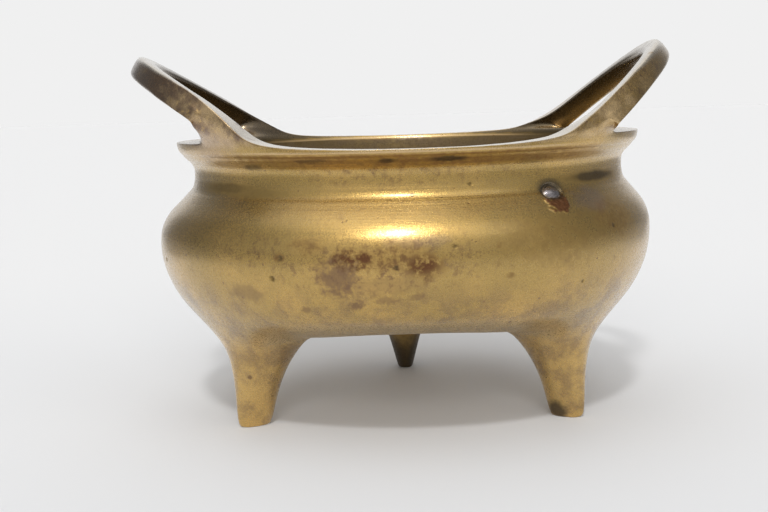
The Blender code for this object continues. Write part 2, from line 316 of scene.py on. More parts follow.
# %% The feet
FOOT_CIRCLE = 0.0426
FOOT_DEPTH = 0.0106
FOOT_WIDTH = 0.0062
FOOT_FLARE_DEPTH = 0.0093
FOOT_FLARE_WIDTH = 0.0140
FOOT_LEAN = 0.0034
FOOT_TOP = 0.0199
FOOT_TOE = 0.0013
FOOT_COLUMNS = 3
SOLE_FLAT = 1.9
# Each level of a foot: share of its top height, of its lean, of its flare in depth and width
FOOT_FLARE_LEVELS = ((1.0, 1.0, 0.5, 0.5), (0.72, 0.55, 0.20, 0.24), (0.42, 0.24, 0.03, 0.09))
TOE_SHARES = (0.89, 0.84)
SOLE_SHARES = (0.74, 0.68)


def foot_levels():
    """Height, centre radius, half depth and half width at each level of a foot."""
    depth = FOOT_DEPTH / 2
    width = FOOT_WIDTH / 2
    levels = []
    for height_share, lean_share, depth_share, width_share in FOOT_FLARE_LEVELS:
        levels.append((
            height_share * FOOT_TOP,
            FOOT_CIRCLE - lean_share * FOOT_LEAN,
            depth + depth_share * FOOT_FLARE_DEPTH,
            width + width_share * FOOT_FLARE_WIDTH))
    levels.append((FOOT_TOE, FOOT_CIRCLE, TOE_SHARES[0] * depth, TOE_SHARES[1] * width))
    levels.append((0.0, FOOT_CIRCLE, SOLE_SHARES[0] * depth, SOLE_SHARES[1] * width))
    return levels


def draw_foot(bm, azimuth):
    """Draws one foot down out of the underside, level by level."""
    first_column = round(azimuth / COLUMN_ANGLE - FOOT_COLUMNS / 2)
    faces, grid = patch(bm, FOOT_RING, FOOT_COLUMNS, first_column, FOOT_COLUMNS)
    turn = math.radians(azimuth)
    out = Vector((math.cos(turn), math.sin(turn), 0.0))
    side = Vector((-out.y, out.x, 0.0))
    for height, centre, depth, width in foot_levels():
        faces, grid = draw_out(bm, faces, grid)
        for (column, row), vert in grid.items():
            across, along = disc_point(
                2.0 * column / FOOT_COLUMNS - 1.0, 1.0 - 2.0 * row / FOOT_COLUMNS)
            inner = 0 < column < FOOT_COLUMNS and 0 < row < FOOT_COLUMNS
            spread = SOLE_FLAT if inner and height == 0.0 else 1.0
            vert.co = (
                out * (centre + spread * depth * along)
                + side * (spread * width * across)
                + Vector((0.0, 0.0, height)))


for azimuth in FOOT_AZIMUTHS:
    draw_foot(casting, azimuth)
print("with the feet:", len(casting.faces), "faces")

# %% [markdown]
# Each handle is a bar that grows out of the rim's top land at two places and closes in an arch. Both
# halves are drawn out of the land towards the crown and welded there. The arch is an arc in plan and
# lies in one leaning plane, and the two handles were bent by hand, so they lean differently.

# %% Sizes of the handles
HANDLE_REACH = 0.0625
HANDLE_ARC = 0.0451
HANDLE_THICKNESS = 0.0058
HANDLE_WIDTH = 0.0055
HANDLE_CORNER = 0.93
HANDLE_CROWN = 0.97
# Each handle's side, its crown's height, its lean, and its fall towards the back
LEFT_HANDLE = (-1.0, 0.0846, math.radians(33.0), 0.031)
RIGHT_HANDLE = (1.0, 0.0853, math.radians(41.0), 0.020)
HANDLE_TURNS = (54.0, 45.0, 35.0, 24.0, 12.0, 0.0)
HANDLE_ROOT_NEAR = 34.5
HANDLE_ROOT_FAR = 54.0
HANDLE_ROOT_COLUMN = 4
ROOT_BLEND = (0.36, 0.46, 0.52)


def bar_section(handle, turn_deg):
    """The section of a handle's bar at a turn along its arch, by (top to bottom, inner to outer)."""
    side, height, lean, fall = handle
    turn = math.radians(turn_deg)
    reach = HANDLE_REACH - HANDLE_ARC * (1.0 - math.cos(turn))
    slope = math.tan(lean)
    spread = HANDLE_ARC * math.sin(turn)
    centre = Vector((reach, spread, height - (HANDLE_REACH - reach) * slope - spread * fall))
    along = Vector((-math.sin(turn), math.cos(turn), -math.sin(turn) * slope)).normalized()
    normal = Vector((-math.sin(lean), 0.0, math.cos(lean)))
    outward = along.cross(normal).normalized()
    size = HANDLE_CROWN + (1.0 - HANDLE_CROWN) * abs(turn_deg) / HANDLE_TURNS[0]
    points = {}
    for column in range(3):
        for row in range(3):
            corner = size * (HANDLE_CORNER if column == 2 and row != 1 else 1.0)
            point = (
                centre
                + normal * ((1 - column) * corner * HANDLE_THICKNESS / 2)
                + outward * ((row - 1) * corner * HANDLE_WIDTH / 2))
            points[(column, row)] = Vector((side * point.x, point.y, point.z))
    return points


# %% The handles
def draw_half_handle(bm, handle, front):
    """Draws one half of a handle out of the rim, up to the crown, and gives its end faces."""
    side = handle[0]
    base = 0.0 if side > 0 else 180.0
    way = side * front
    middle_column = round(base / COLUMN_ANGLE + way * HANDLE_ROOT_COLUMN)
    faces, grid = patch(bm, RIM_INNER_RING, 2, middle_column - 1, 2)
    if way > 0:
        grid = {(2 - column, row): vert for (column, row), vert in grid.items()}
    roots = (HANDLE_ROOT_FAR, (HANDLE_ROOT_FAR + HANDLE_ROOT_NEAR) / 2, HANDLE_ROOT_NEAR)
    for (column, row), vert in grid.items():
        radius = math.hypot(vert.co.x, vert.co.y)
        turn = math.radians(base + way * roots[column])
        vert.co.x = radius * math.cos(turn)
        vert.co.y = radius * math.sin(turn)
        if column == 1:
            vert[ring_mark] = BAR_RING
    start = {key: vert.co.copy() for key, vert in grid.items()}
    first = bar_section(handle, front * HANDLE_TURNS[0])
    faces, grid = draw_out(bm, faces, grid)
    for key, vert in grid.items():
        vert.co = start[key].lerp(first[key], ROOT_BLEND[key[0]])
        if key[0] > 0 or key[1] == 1:
            vert[ring_mark] = BAR_RING
    for turn in HANDLE_TURNS:
        faces, grid = draw_out(bm, faces, grid)
        section = bar_section(handle, front * turn)
        for key, vert in grid.items():
            vert.co = section[key]
            vert[crisp_mark] = vert[crisp_mark] * turn / HANDLE_TURNS[0]
    return faces


def draw_handle(bm, handle):
    """Draws both halves of a handle and welds them at the crown."""
    ends = []
    for front in (-1.0, 1.0):
        ends += draw_half_handle(bm, handle, front)
    crown = {vert for face in ends for vert in face.verts}
    bmesh.ops.delete(bm, geom=ends, context="FACES")
    crown = [vert for vert in crown if vert.is_valid]
    bmesh.ops.remove_doubles(bm, verts=crown, dist=WELD)


for handle in (LEFT_HANDLE, RIGHT_HANDLE):
    draw_handle(casting, handle)
print("with the handles:", len(casting.faces), "faces")

# %% [markdown]
# Creases keep the rim's two edges crisp while the rest is rounded. They run on along the handles and
# fade out towards the crown, because an edge there is worn by hands. The cage then becomes an
# object, and three levels of smoothing give faces of about a millimetre. The rounded mesh is kept as
# the piece's own mesh, so that small marks can be cut into it afterwards.

# %% Crease and smooth the casting
SMOOTHING = 3
PIECE = "cast_censer"


def crease_rim(bm):
    crease = bm.edges.layers.float.new("crease_edge")
    for edge in bm.edges:
        first, second = edge.verts
        if first[ring_mark] == second[ring_mark]:
            edge[crease] = min(first[crisp_mark], second[crisp_mark])


def rounded(bm, name, levels):
    """An object with the mesh that Subdivision Surface makes of a cage."""
    cage = bpy.data.meshes.new(name + "_cage")
    bm.to_mesh(cage)
    bm.free()
    piece = bpy.data.objects.new(name, cage)
    bpy.context.scene.collection.objects.link(piece)
    smoothing = piece.modifiers.new("smoothing", "SUBSURF")
    smoothing.levels = levels
    smoothing.render_levels = levels
    graph = bpy.context.evaluated_depsgraph_get()
    mesh = bpy.data.meshes.new_from_object(piece.evaluated_get(graph))
    piece.modifiers.clear()
    piece.data = mesh
    mesh.name = name
    bpy.data.meshes.remove(cage)
    return piece


crease_rim(casting)
bmesh.ops.recalc_face_normals(casting, faces=casting.faces[:])
censer = rounded(casting, PIECE, SMOOTHING)
print("smoothed:", len(censer.data.polygons), "faces")

# %% [markdown]
# The surface carries small marks: two fine raised lines where the neck meets the shoulder, a groove
# under the lip, pits where gas was caught in the metal, and a plug set into the shoulder to mend
# a hole. They could be a bump in the material, but real relief also shows from the side and in the
# mesh itself. The pits and the plug lie at an azimuth and a height, and the mesh is made finer
# there first.

# %% Where the marks are
# Azimuth in degrees, height and radius of each pit, in metres
PITS = (
    (-81.1, 0.0453, 0.00045), (-75.5, 0.0575, 0.00045), (-116.8, 0.0434, 0.00055),
    (-119.1, 0.0389, 0.00060), (-92.8, 0.0414, 0.00045), (-40.5, 0.0467, 0.00045),
    (-50.3, 0.0354, 0.00035), (40.0, 0.0440, 0.00050), (95.0, 0.0380, 0.00060),
    (150.0, 0.0470, 0.00045), (-160.0, 0.0400, 0.00050),
)
PLUG_AZIMUTH = -54.7
PLUG_HEIGHT = 0.0553
PLUG_HALF_WIDTH = 0.0024
PLUG_HALF_HEIGHT = 0.0013
PLUG_RISE = 0.0005
PLUG_GROOVE = 0.0004
BLOB_AZIMUTH = -54.7
BLOB_HEIGHT = 0.0528
BLOB_HALF_WIDTH = 0.0034
BLOB_HALF_HEIGHT = 0.0020
BLOB_RISE = 0.00025


def azimuth_gap(point, azimuth_deg):
    """How far a point lies from an azimuth, along the bowl's surface, in metres."""
    turn = math.degrees(math.atan2(point.y, point.x)) - azimuth_deg
    return math.radians((turn + 180.0) % 360.0 - 180.0) * math.hypot(point.x, point.y)


print("marks:", len(PITS), "pits, one plug")

# %% Make the mesh finer at the marks
OUTSIDE_FROM = 0.050
# The finer part around the plug reaches down over the blob of metal under it
PLUG_FINE_DROP = 0.0016
PLUG_FINE_HALF_WIDTH = 0.0056
PLUG_FINE_HALF_HEIGHT = 0.0062
PLUG_CUTS = 4
PIT_FINE_REACH = 0.0012
PIT_CUTS = 3


def near_mark(point, azimuth, height, half_width, half_height):
    across = azimuth_gap(point, azimuth) / half_width
    along = (point.z - height) / half_height
    return across * across + along * along < 1.0


def refine(bm, azimuth, height, half_width, half_height, cuts):
    """Cuts the edges on the bowl's outside around a mark into shorter ones."""
    edges = []
    for edge in bm.edges:
        middle = (edge.verts[0].co + edge.verts[1].co) / 2
        if math.hypot(middle.x, middle.y) > OUTSIDE_FROM and middle.z > UNDERSIDE_HEIGHT:
            if near_mark(middle, azimuth, height, half_width, half_height):
                edges.append(edge)
    bmesh.ops.subdivide_edges(bm, edges=edges, cuts=cuts, use_grid_fill=True)


relief = bmesh.new()
relief.from_mesh(censer.data)
refine(
    relief, PLUG_AZIMUTH, PLUG_HEIGHT - PLUG_FINE_DROP,
    PLUG_FINE_HALF_WIDTH, PLUG_FINE_HALF_HEIGHT, PLUG_CUTS)
for azimuth, height, radius in PITS:
    reach = radius + PIT_FINE_REACH
    refine(relief, azimuth, height, reach, reach, PIT_CUTS)
print("refined:", len(relief.faces), "faces")

# %% [markdown]
# A mark is how far each point of the surface moves in or out along its normal, so the marks stay one
# skin with the casting, as they are in the metal. The same pass gives the whole casting its slight
# waviness, lets the neck run straight a little further down, and fills the shoulder a little. It
# also stores on each vertex how strongly a mark shows there, which the finish reads later.

# %% Waviness, neck and shoulder
WAVE_SIZE = 0.020
WAVE_RISE = 0.00010
GRAIN_SIZE = 0.0035
GRAIN_RISE = 0.000025
KEEP_INSIDE = 0.00006
# Height and rise of the two raised lines
LINES = ((0.0559, 0.000010), (0.0549, 0.000030))
LINE_HALF_WIDTH = 0.00035
LIP_GROOVE_HEIGHT = 0.0637
LIP_GROOVE_DEPTH = 0.00012
# The neck runs straight down a little further than the solid's before it turns out
NECK_DROP = 0.00050
NECK_DROP_FROM = 0.0574
NECK_DROP_TO = 0.0556
NECK_DROP_END = 0.0490
# The shoulder is a little fuller below and slacker above than the solid's
SHOULDER_FULL = 0.00020
SHOULDER_FULL_HEIGHT = 0.0464
SHOULDER_SLACK_HEIGHT = 0.0528
SHOULDER_HALF_WIDTH = 0.0028


def bell(value, half_width):
    """A rounded bump, 1 at the middle, that dies out at about twice its half width."""
    return math.exp(-(value / half_width) ** 2)


def casting_rise(point):
    """The waviness and the grain that a mould leaves all over, but not under the soles."""
    rise = WAVE_RISE * noise.noise(point / WAVE_SIZE) + GRAIN_RISE * noise.noise(point / GRAIN_SIZE)
    return (rise - KEEP_INSIDE) * smooth_step(point.z, 0.0, FOOT_TOE)


def profile_rise(height):
    """What the shoulder, the neck, the two lines and the lip's groove add at a height."""
    rise = SHOULDER_FULL * bell(height - SHOULDER_FULL_HEIGHT, SHOULDER_HALF_WIDTH)
    rise -= SHOULDER_FULL * bell(height - SHOULDER_SLACK_HEIGHT, SHOULDER_HALF_WIDTH)
    dropped = smooth_step(height, NECK_DROP_FROM, NECK_DROP_TO)
    rise -= NECK_DROP * dropped * smooth_step(height, NECK_DROP_END, NECK_DROP_TO)
    for line_height, line_rise in LINES:
        rise += line_rise * bell(height - line_height, LINE_HALF_WIDTH)
    return rise - LIP_GROOVE_DEPTH * bell(height - LIP_GROOVE_HEIGHT, LINE_HALF_WIDTH)


print("neck", 1000 * NECK_DROP, "mm deeper, shoulder", 1000 * SHOULDER_FULL, "mm fuller")

# %% The plug, the blob under it and the pits
# All these are shares of a mark's half size, counted inwards from its edge: where it starts to
# show and where it is full
PLUG_EDGE = (0.02, 0.16)
PLUG_DOME = (0.0, 0.8)
BLOB_EDGE = (-0.05, 0.2)
PIT_BOTTOM = (-0.1, 0.7)
PIT_STAIN = (-0.4, 0.2)
PLUG_GROOVE_HALF_WIDTH = 0.16
# The dirt around the plug sits outside its edge and is wider above it
RING_DIRT_SHIFT = 0.10
RING_DIRT_HALF_WIDTH = 0.34
RING_DIRT_ABOVE = 0.22
# How ragged the edges are, and how big the rags are; a pit's are a share of its radius
BLOB_RAGGED = 0.5
BLOB_RAG_SIZE = 0.0012
BLOB_LUMP_SIZE = 0.0006
PIT_RAGGED = 0.4
PIT_RAG_SHARE = 0.8
PIT_DEPTH = 0.45

plug_mark = relief.verts.layers.float.new("plug")
blob_mark = relief.verts.layers.float.new("blob")
pit_mark = relief.verts.layers.float.new("pit")
wear_mark = relief.verts.layers.float.new("wear")
ring_dirt_mark = relief.verts.layers.float.new("ring_dirt")
under_mark = relief.verts.layers.float.new("under")
inward_mark = relief.verts.layers.float.new("inward")
land_mark = relief.verts.layers.float.new("land")


def dome(across, along):
    """How far inside an ellipse a point lies: 1 at its middle, 0 on its edge, negative outside."""
    return 1.0 - math.hypot(across, along)


def plug_rise(vert):
    """The plug's low dome and the groove around it."""
    above = (vert.co.z - PLUG_HEIGHT) / PLUG_HALF_HEIGHT
    inside = dome(azimuth_gap(vert.co, PLUG_AZIMUTH) / PLUG_HALF_WIDTH, above)
    if inside <= -1.0:
        return 0.0
    dirt_half_width = RING_DIRT_HALF_WIDTH + RING_DIRT_ABOVE * max(above, 0.0)
    vert[plug_mark] = smooth_step(inside, *PLUG_EDGE)
    vert[ring_dirt_mark] = bell(inside + RING_DIRT_SHIFT, dirt_half_width)
    return PLUG_RISE * smooth_step(inside, *PLUG_DOME) - PLUG_GROOVE * bell(inside, PLUG_GROOVE_HALF_WIDTH)


def blob_rise(vert):
    """The rough blob that ran out from under the plug."""
    along = (vert.co.z - BLOB_HEIGHT) / BLOB_HALF_HEIGHT
    inside = dome(azimuth_gap(vert.co, BLOB_AZIMUTH) / BLOB_HALF_WIDTH, along)
    if inside <= -1.0:
        return 0.0
    inside += BLOB_RAGGED * noise.noise(vert.co / BLOB_RAG_SIZE)
    vert[blob_mark] = smooth_step(inside, *BLOB_EDGE) * (1.0 - vert[plug_mark])
    return BLOB_RISE * vert[blob_mark] * (1.0 + noise.noise(vert.co / BLOB_LUMP_SIZE))


def pits_rise(vert):
    """The pits, each a ragged hole about half as deep as its radius."""
    rise = 0.0
    for azimuth, height, size in PITS:
        along = (vert.co.z - height) / size
        if abs(along) < 2.0:
            inside = dome(azimuth_gap(vert.co, azimuth) / size, along)
            if inside > -1.0:
                inside += PIT_RAGGED * noise.noise(vert.co / (PIT_RAG_SHARE * size))
                vert[pit_mark] = max(vert[pit_mark], smooth_step(inside, *PIT_STAIN))
                rise -= PIT_DEPTH * size * smooth_step(inside, *PIT_BOTTOM)
    return rise


print("plug stands", 1000 * PLUG_RISE, "mm out")

# %% Cut the marks
# How steeply a face has to look down, to the axis or up before it counts, as a part of its normal
UNDER_FACING = (0.60, 0.90)
INWARD_FACING = (0.35, 0.75)
LAND_FACING = (0.55, 0.75)


def mark_rise(vert, inner):
    """How far the surface stands out at a vertex, with every mark that reaches it."""
    point = vert.co
    rise = casting_rise(point)
    if vert[inner] > 0.0 or math.hypot(point.x, point.y) < OUTSIDE_FROM:
        return rise
    if point.z > RIM_HEIGHT or point.z < UNDERSIDE_HEIGHT:
        return rise
    rise += profile_rise(point.z)
    # The blob leaves out the plug's place, so the plug comes first
    for rise_here in (plug_rise, blob_rise, pits_rise):
        rise += rise_here(vert)
    return rise


def cut_marks(bm):
    bm.normal_update()
    crisp = bm.verts.layers.float["crisp"]
    inner = bm.verts.layers.float["inside"]
    moves = [vert.normal * mark_rise(vert, inner) for vert in bm.verts]
    for vert, move in zip(bm.verts, moves):
        vert.co += move
        vert[wear_mark] = vert[crisp]
        if vert.co.z < KNUCKLE_HEIGHT and vert[inner] < 0.5:
            vert[under_mark] = smooth_step(-vert.normal.z, *UNDER_FACING)
        if vert.co.z > RIM_HEIGHT:
            to_axis = -vert.normal.dot(Vector((vert.co.x, vert.co.y, 0.0)).normalized())
            vert[inward_mark] = smooth_step(to_axis, *INWARD_FACING)
            vert[land_mark] = smooth_step(vert.normal.z, *LAND_FACING)


cut_marks(relief)
for name in ("ring", "column"):
    relief.verts.layers.int.remove(relief.verts.layers.int[name])
relief.to_mesh(censer.data)
relief.free()
censer.data.shade_smooth()
censer.data.calc_loop_triangles()
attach(censer, "root")
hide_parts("censer")
print(PIECE, "has", len(censer.data.loop_triangles), "triangles")

# %% [markdown]
# The finish is old brass: golden olive where it is rubbed, with fine turned lines on the neck and the
# shoulder, brown patina in patches and under the lip, and a sprinkle of dark pores. Painting it as a
# picture would need an unwrapped mesh, so it is mixed from patterns instead. Each reads Object
# coordinates, turned into millimetres, so the numbers below are real sizes.

# %% Helpers for nodes
def add_node(tree, kind, inputs=(), **settings):
    """A node with its settings, and with its inputs set to values or linked to sockets."""
    made = tree.nodes.new(kind)
    for name, value in settings.items():
        setattr(made, name, value)
    for name, value in dict(inputs).items():
        if isinstance(value, bpy.types.NodeSocket):
            tree.links.new(value, made.inputs[name])
        else:
            made.inputs[name].default_value = value
    return made


def calc(tree, operation, first, second=0.0):
    return add_node(tree, "ShaderNodeMath", {0: first, 1: second}, operation=operation).outputs[0]


def ramp(tree, value, low, high):
    """0 below low, 1 above high, smooth in between; high below low turns it round."""
    made = add_node(
        tree, "ShaderNodeMapRange", {"Value": value, "From Min": low, "From Max": high},
        interpolation_type="SMOOTHSTEP")
    return made.outputs["Result"]


def blend(tree, share, first, second):
    made = add_node(
        tree, "ShaderNodeMix", {0: share, 6: first, 7: second}, data_type="RGBA")
    return made.outputs[2]


def cloud(tree, place, scale, detail=4.0, rough=0.55, stretch=(1.0, 1.0, 1.0)):
    """Soft noise from 0 to 1; scale is in features a millimetre, along each axis times stretch."""
    mapped = add_node(tree, "ShaderNodeMapping", {"Vector": place, "Scale": stretch})
    made = add_node(
        tree, "ShaderNodeTexNoise",
        {"Vector": mapped.outputs[0], "Scale": scale, "Detail": detail, "Roughness": rough})
    return made.outputs["Fac"]


def new_group(name, inputs, outputs):
    """A shader node group with named sockets, its input node's outputs and its output node."""
    group = bpy.data.node_groups.new(name, "ShaderNodeTree")
    for label, kind in inputs:
        group.interface.new_socket(label, in_out="INPUT", socket_type=kind)
    for label, kind in outputs:
        group.interface.new_socket(label, in_out="OUTPUT", socket_type=kind)
    return group, group.nodes.new("NodeGroupInput").outputs, group.nodes.new("NodeGroupOutput")


# %% A stain of patina, as a node group
FLOAT = "NodeSocketFloat"
VECTOR = "NodeSocketVector"
# Where a stain has faded out and where it is full, as shares of its half size
STAIN_NONE = 1.35
STAIN_FULL = 0.45


def stain_group():
    """A ragged patch around a centre: 1 inside, 0 outside. All lengths are millimetres."""
    group, given, result = new_group(
        "stain",
        (("Place", VECTOR), ("Centre", VECTOR), ("Size", VECTOR), ("Ragged", FLOAT), ("Grain", FLOAT)),
        (("Mask", FLOAT),))
    away = add_node(
        group, "ShaderNodeVectorMath", {0: given["Place"], 1: given["Centre"]}, operation="SUBTRACT")
    share = add_node(
        group, "ShaderNodeVectorMath", {0: away.outputs[0], 1: given["Size"]}, operation="DIVIDE")
    length = add_node(group, "ShaderNodeVectorMath", {0: share.outputs[0]}, operation="LENGTH")
    edge = add_node(
        group, "ShaderNodeTexNoise",
        {"Vector": given["Place"], "Scale": given["Grain"], "Detail": 6.0, "Roughness": 0.7})
    # The noise is 0.5 on average, so a patch keeps its size however ragged it is
    shift = calc(group, "MULTIPLY", calc(group, "SUBTRACT", edge.outputs["Fac"], 0.5), given["Ragged"])
    total = calc(group, "ADD", length.outputs["Value"], shift)
    group.links.new(ramp(group, total, STAIN_NONE, STAIN_FULL), result.inputs["Mask"])
    return group


STAIN = stain_group()
print("group:", STAIN.name)

# %% Dark pores, as a node group
PORE_NONE = 1.2
PORE_FULL = 0.6
SMALLEST_PORE = 0.5


def pores_group():
    """Small round spots in some of the cells of a grid; Share says in how many."""
    group, given, result = new_group(
        "pores",
        (("Place", VECTOR), ("Spacing", FLOAT), ("Radius", FLOAT), ("Share", FLOAT)),
        (("Mask", FLOAT),))
    cells = add_node(
        group, "ShaderNodeTexVoronoi",
        {"Vector": given["Place"], "Scale": calc(group, "DIVIDE", 1.0, given["Spacing"])})
    chance = add_node(group, "ShaderNodeSeparateColor", {0: cells.outputs["Color"]})
    chosen = calc(group, "LESS_THAN", chance.outputs[0], given["Share"])
    reach = calc(group, "MULTIPLY", cells.outputs["Distance"], given["Spacing"])
    size = calc(group, "MULTIPLY", given["Radius"], calc(group, "ADD", chance.outputs[1], SMALLEST_PORE))
    near = ramp(group, calc(group, "DIVIDE", reach, size), PORE_NONE, PORE_FULL)
    group.links.new(calc(group, "MULTIPLY", near, chosen), result.inputs["Mask"])
    return group


PORES = pores_group()
print("group:", PORES.name)

# %% [markdown]
# The colour of a metal tints what it mirrors, so the values are darker and redder than the brass
# looks, because the pale room brightens them. Stains grew where the censer was handled and where
# damp sat, so the main ones are placed one by one, and only the freckles are left to a pattern.
# Some of the dark patches are painted shade rather than stains: the back foot, under the bowl, and
# the crease at the foot of the neck. The pale colour is a painted reflection on the front of the
# rim's land, and the rubbed colour also paints a highlight along the rim's front edge.

# %% Colours and stains of the old brass
GOLD = (0.610, 0.385, 0.100, 1.0)
OLIVE = (0.490, 0.318, 0.080, 1.0)
# Rubbed brass on worn edges, and also the colour of a painted highlight along the rim's front edge
RUBBED_AND_HIGHLIGHT = (0.680, 0.480, 0.240, 1.0)
BROWN = (0.210, 0.105, 0.036, 1.0)
RUST = (0.112, 0.045, 0.015, 1.0)
PLUM = (0.165, 0.096, 0.058, 1.0)
LILAC = (0.370, 0.265, 0.215, 1.0)
# Soot in the pits and around the plug, and also painted shade on the back foot and in the crease at the
# foot of the neck
SOOT_AND_SHADE = (0.035, 0.025, 0.014, 1.0)
TIN = (0.270, 0.245, 0.250, 1.0)
UMBER = (0.125, 0.095, 0.055, 1.0)
DUST = (0.350, 0.255, 0.135, 1.0)
# Painted reflection of the pale room on the front of the rim's top land and the handles' tops
PALE_REFLECTION = (0.640, 0.590, 0.500, 1.0)
STRAW = (0.720, 0.470, 0.160, 1.0)

# Centre and half size in millimetres, raggedness, grain and strength of each patch
RUST_PATCHES = (
    ((-11.5, -58.8, 43.4), (5.0, 8.0, 2.3), 2.2, 0.50, 1.00),
    ((-2.5, -59.5, 45.4), (5.0, 8.0, 1.3), 2.2, 0.60, 0.60),
    ((-4.2, -59.5, 43.2), (7.5, 8.0, 2.8), 2.4, 0.80, 0.60),
    ((2.6, -59.8, 41.9), (4.8, 8.0, 2.8), 2.6, 0.55, 1.00),
    ((3.4, -59.7, 41.0), (1.5, 8.0, 3.0), 1.6, 0.60, 0.75),
    ((-21.5, -55.3, 45.6), (4.5, 8.0, 1.8), 2.4, 0.50, 0.45),
    ((-27.0, -53.3, 43.4), (1.2, 8.0, 1.0), 1.6, 0.70, 0.70),
    ((18.2, -56.8, 45.2), (0.9, 8.0, 0.8), 1.6, 0.80, 0.60),
    ((20.7, -55.8, 38.7), (1.2, 8.0, 0.6), 1.6, 0.80, 0.50),
    ((45.7, -38.0, 48.5), (8.0, 9.0, 5.2), 1.8, 0.30, 0.55),
    ((30.0, -50.0, 45.5), (15.0, 13.0, 6.0), 1.4, 0.20, 0.30),
)
PLUM_PATCHES = (
    ((-14.8, -57.8, 39.6), (4.6, 8.0, 4.2), 3.2, 0.60, 0.80),
    ((-5.0, -58.9, 37.6), (7.0, 8.0, 2.2), 2.6, 0.45, 0.35),
    ((-11.4, -56.5, 33.5), (1.6, 8.0, 1.1), 2.8, 0.80, 0.80),
    ((-4.9, -57.9, 34.4), (2.6, 8.0, 0.9), 3.0, 0.80, 0.55),
    ((1.6, -58.4, 35.1), (1.6, 8.0, 0.8), 2.8, 0.90, 0.50),
    ((-35.0, -47.0, 35.4), (4.0, 6.0, 1.8), 3.4, 0.60, 0.35),
    ((-22.0, -52.5, 32.2), (1.1, 8.0, 0.8), 1.6, 0.70, 0.60),
)
DARK_PATCHES = (
    ((-4.1, -54.3, 63.1), (2.0, 8.0, 0.5), 1.5, 0.50, 0.75),
    ((8.7, -54.0, 63.1), (4.0, 8.0, 0.6), 1.6, 0.45, 0.80),
    ((-33.2, -40.8, 61.8), (2.4, 6.0, 0.7), 1.6, 0.45, 0.55),
    ((-20.1, -50.2, 63.2), (3.0, 8.0, 0.5), 2.0, 0.40, 0.50),
    ((34.2, -22.6, 1.8), (2.6, 3.2, 2.6), 1.5, 0.40, 0.85),
    # Painted shade: the back foot, which stands under the bowl, darkened all over
    ((0.0, 42.6, 3.0), (9.0, 9.0, 18.0), 0.6, 0.20, 0.95),
    # Painted shade: these three darken the crease at the foot of the neck, at both sides
    ((42.0, -32.5, 57.3), (11.5, 11.0, 1.4), 0.8, 0.30, 0.90),
    ((-40.0, -32.5, 57.0), (10.0, 11.0, 1.3), 0.8, 0.30, 0.65),
    ((-34.0, -39.0, 56.2), (12.0, 9.0, 1.2), 1.0, 0.30, 0.35),
)
SPECKLED_PATCHES = (
    ((-8.0, -58.0, 41.5), (22.0, 14.0, 6.0), 1.2, 0.12, 1.00),
    ((-30.0, -50.0, 44.0), (12.0, 12.0, 4.0), 1.2, 0.15, 0.70),
    ((0.0, -55.0, 60.0), (30.0, 14.0, 2.5), 1.4, 0.20, 0.60),
)
LILAC_PATCHES = (
    ((41.0, -38.9, 52.9), (6.0, 6.5, 2.6), 1.8, 0.25, 0.50),
    ((2.0, -59.5, 46.6), (7.0, 8.0, 1.3), 2.4, 0.40, 0.25),
    ((-45.0, -35.0, 66.5), (9.0, 9.0, 4.0), 1.6, 0.30, 0.40),
)
print("patches:", len(RUST_PATCHES) + len(PLUM_PATCHES) + len(DARK_PATCHES) + len(LILAC_PATCHES))

# %% The old brass and its coordinates
MM_PER_METRE = 1000.0

brass = bpy.data.materials.new("old_brass")
brass.use_nodes = True
tree = brass.node_tree
shader = tree.nodes["Principled BSDF"]
in_metres = add_node(tree, "ShaderNodeTexCoord").outputs["Object"]
place = add_node(
    tree, "ShaderNodeVectorMath", {0: in_metres, 1: (MM_PER_METRE, MM_PER_METRE, MM_PER_METRE)},
    operation="MULTIPLY").outputs[0]
parts = add_node(tree, "ShaderNodeSeparateXYZ", {0: place}).outputs
across, depth, height = parts["X"], parts["Y"], parts["Z"]
sideways = calc(tree, "ABSOLUTE", across)
print("material:", brass.name)


# %% Helpers for masks
def both(first, second):
    """1 where two masks are both 1."""
    return calc(tree, "MULTIPLY", first, second)


def either(first, second):
    """The stronger of two masks."""
    return calc(tree, "MAXIMUM", first, second)


def between(value, low, high, soft):
    """1 from low to high, falling to 0 over a soft stretch on either side."""
    return both(ramp(tree, value, low - soft, low), ramp(tree, value, high + soft, high))


def stains(patches):
    """The strongest of several patches at each point."""
    total = 0.0
    for centre, size, ragged, grain, strength in patches:
        made = add_node(
            tree, "ShaderNodeGroup",
            {"Place": place, "Centre": centre, "Size": size, "Ragged": ragged, "Grain": grain},
            node_tree=STAIN)
        total = either(both(made.outputs["Mask"], strength), total)
    return total


def pores(spacing, radius, share):
    made = add_node(
        tree, "ShaderNodeGroup",
        {"Place": place, "Spacing": spacing, "Radius": radius, "Share": share}, node_tree=PORES)
    return made.outputs["Mask"]


def vertex_mask(name):
    return add_node(tree, "ShaderNodeAttribute", attribute_name=name).outputs["Fac"]


print("helpers ready")

# %% Clouds, bands and stains of the old brass
# In millimetres: a ramp has where it starts and where it is full, and a band has its low end, its
# high end and how soft both are
NECK_BAND = (51.0, 64.5, 5.0)
LIP_BAND = (62.2, 64.2, 0.9)
LIP_FRONT = (50.0, 30.0)
HANDLE_START = (65.6, 68.5)
LOW_BELLY = (40.0, 30.0)
LEGS = (27.0, 20.0)

